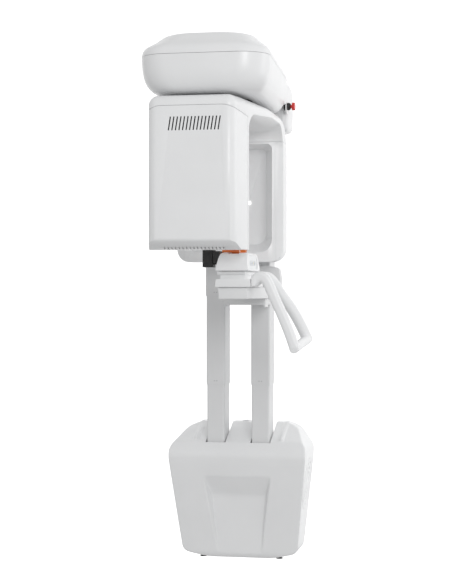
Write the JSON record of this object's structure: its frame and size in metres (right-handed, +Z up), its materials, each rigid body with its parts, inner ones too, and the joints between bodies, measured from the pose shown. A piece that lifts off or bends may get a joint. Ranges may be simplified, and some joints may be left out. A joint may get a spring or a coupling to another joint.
{
  "type": "panoramic x-ray machine",
  "caption": "Wall-hung dental panoramic X-ray unit: base, telescopic columns, turning C-arm under a top housing, and a chin-rest arm with handle.",
  "frame": {"origin": "centre of the wall plate's four anchor holes, on the plate's back face against the wall", "axes": "+X to the right of someone facing the machine, +Y towards the wall, +Z up"},
  "size_m": [0.6162, 1.052, 1.906],
  "materials": {
    "shell_white": "satin moulded white",
    "column_paint": "satin light grey powder coat",
    "arm_paint": "satin light grey paint over cast aluminium",
    "steel": "zinc plated",
    "cast_alloy": "cast and machined",
    "drive_metal": "machined",
    "electronics": "circuit board and grey case",
    "black_plastic": "matt black",
    "window_plastic": "fine matt",
    "keypad_film": "printed satin film",
    "key_caps": "satin",
    "bite_plastic": "satin",
    "orange_clear": "translucent orange",
    "red_plastic": "gloss red",
    "laser_glass": "clear lens"
  },
  "bodies": {
    "base": {"wall_plate": "steel", "base_chassis": "steel", "base_cover": "shell_white", "side_grille_left": "shell_white", "side_grille_right": "shell_white", "lift_drives": "drive_metal", "power_supply": "electronics", "control_board": "electronics", "cable_glands": "black_plastic", "mains_inlet": "black_plastic", "top_clip": "steel", "column_lower_left": "column_paint", "column_lower_right": "column_paint"},
    "mains_rocker": {"mains_rocker": "black_plastic"},
    "mid_left": {"column_mid_left": "column_paint", "lift_nut_left": "drive_metal"},
    "mid_right": {"column_mid_right": "column_paint", "lift_nut_right": "drive_metal"},
    "carriage": {"column_upper_left": "column_paint", "column_upper_right": "column_paint", "head_upper_cover": "shell_white", "head_lower_cover": "shell_white", "head_bracket": "steel", "module_lid": "shell_white", "module_body": "shell_white", "top_arm": "cast_alloy", "slewing_bearing": "steel", "rotation_motor": "drive_metal", "drive_belt": "black_plastic", "chin_box": "shell_white", "keypad_panel": "keypad_film", "chin_tray": "shell_white", "arm_beam": "arm_paint", "arm_rail": "arm_paint", "arm_root": "shell_white", "patient_handle": "shell_white", "chin_holder": "black_plastic", "estop_base": "black_plastic"},
    "motor_pulley": {"motor_pulley": "drive_metal"},
    "rotating_arm": {"top_hood": "shell_white", "tube_front_cover": "shell_white", "tube_inner_cover": "shell_white", "beam_window": "window_plastic", "detector_back_shell": "shell_white", "detector_front_bowl": "shell_white", "arm_hub": "steel", "arm_frame": "cast_alloy", "tube_head": "cast_alloy", "collimator": "cast_alloy", "detector_panel": "cast_alloy", "positioning_laser": "laser_glass"},
    "key_up": {"key_up": "key_caps"},
    "key_down": {"key_down": "key_caps"},
    "key_light": {"key_light": "key_caps"},
    "key_temples": {"key_temples": "key_caps"},
    "chin_post": {"chin_post": "black_plastic", "bite_block": "bite_plastic"},
    "temple_left": {"temple_support_left": "orange_clear"},
    "temple_right": {"temple_support_right": "orange_clear"},
    "estop_button": {"estop_button": "red_plastic"}
  },
  "joints": [
    {"name": "left_lift", "type": "slide", "parent": "base", "child": "mid_left", "axis": [0, 0, 1], "range_m": [-0.24, 0.1]},
    {"name": "right_lift", "type": "slide", "parent": "base", "child": "mid_right", "axis": [0, 0, 1], "range_m": [-0.24, 0.1]},
    {"name": "carriage_lift", "type": "slide", "parent": "mid_left", "child": "carriage", "axis": [0, 0, 1], "range_m": [-0.24, 0.1]},
    {"name": "arm_rotation", "type": "hinge", "parent": "carriage", "child": "rotating_arm", "pos_m": [0, -0.751, 1.4], "axis": [0, 0, 1], "range_deg": [-200, 30]},
    {"name": "pulley_spin", "type": "hinge", "parent": "carriage", "child": "motor_pulley", "pos_m": [0, -0.551, 1.46], "axis": [0, 0, 1], "range_deg": [-826, 124]},
    {"name": "estop_press", "type": "slide", "parent": "carriage", "child": "estop_button", "axis": [-1, 0, 0], "range_m": [0, 0.005], "stiffness_N_per_m": 1500},
    {"name": "chin_post_height", "type": "slide", "parent": "carriage", "child": "chin_post", "axis": [0, 0, 1], "range_m": [-0.008, 0.02]},
    {"name": "temple_left_slide", "type": "slide", "parent": "carriage", "child": "temple_left", "axis": [0, -1, 0], "range_m": [0, 0.014]},
    {"name": "temple_right_slide", "type": "slide", "parent": "carriage", "child": "temple_right", "axis": [0, 1, 0], "range_m": [0, 0.014]},
    {"name": "mains_rocker_tilt", "type": "hinge", "parent": "base", "child": "mains_rocker", "pos_m": [0.06, -0.08, -0.2555], "axis": [1, 0, 0], "range_deg": [-12, 12]},
    {"name": "key_up_press", "type": "slide", "parent": "carriage", "child": "key_up", "axis": [-1, 0, 0], "range_m": [0, 0.001], "stiffness_N_per_m": 1200},
    {"name": "key_down_press", "type": "slide", "parent": "carriage", "child": "key_down", "axis": [-1, 0, 0], "range_m": [0, 0.001], "stiffness_N_per_m": 1200},
    {"name": "key_light_press", "type": "slide", "parent": "carriage", "child": "key_light", "axis": [-1, 0, 0], "range_m": [0, 0.001], "stiffness_N_per_m": 1200},
    {"name": "key_temples_press", "type": "slide", "parent": "carriage", "child": "key_temples", "axis": [-1, 0, 0], "range_m": [0, 0.001], "stiffness_N_per_m": 1200}
  ],
  "couplings": [
    {"joint": "right_lift", "follows": "left_lift", "ratio": 1},
    {"joint": "carriage_lift", "follows": "left_lift", "ratio": 1},
    {"joint": "pulley_spin", "follows": "arm_rotation", "ratio": 4.125},
    {"joint": "temple_right_slide", "follows": "temple_left_slide", "ratio": 1}
  ]
}
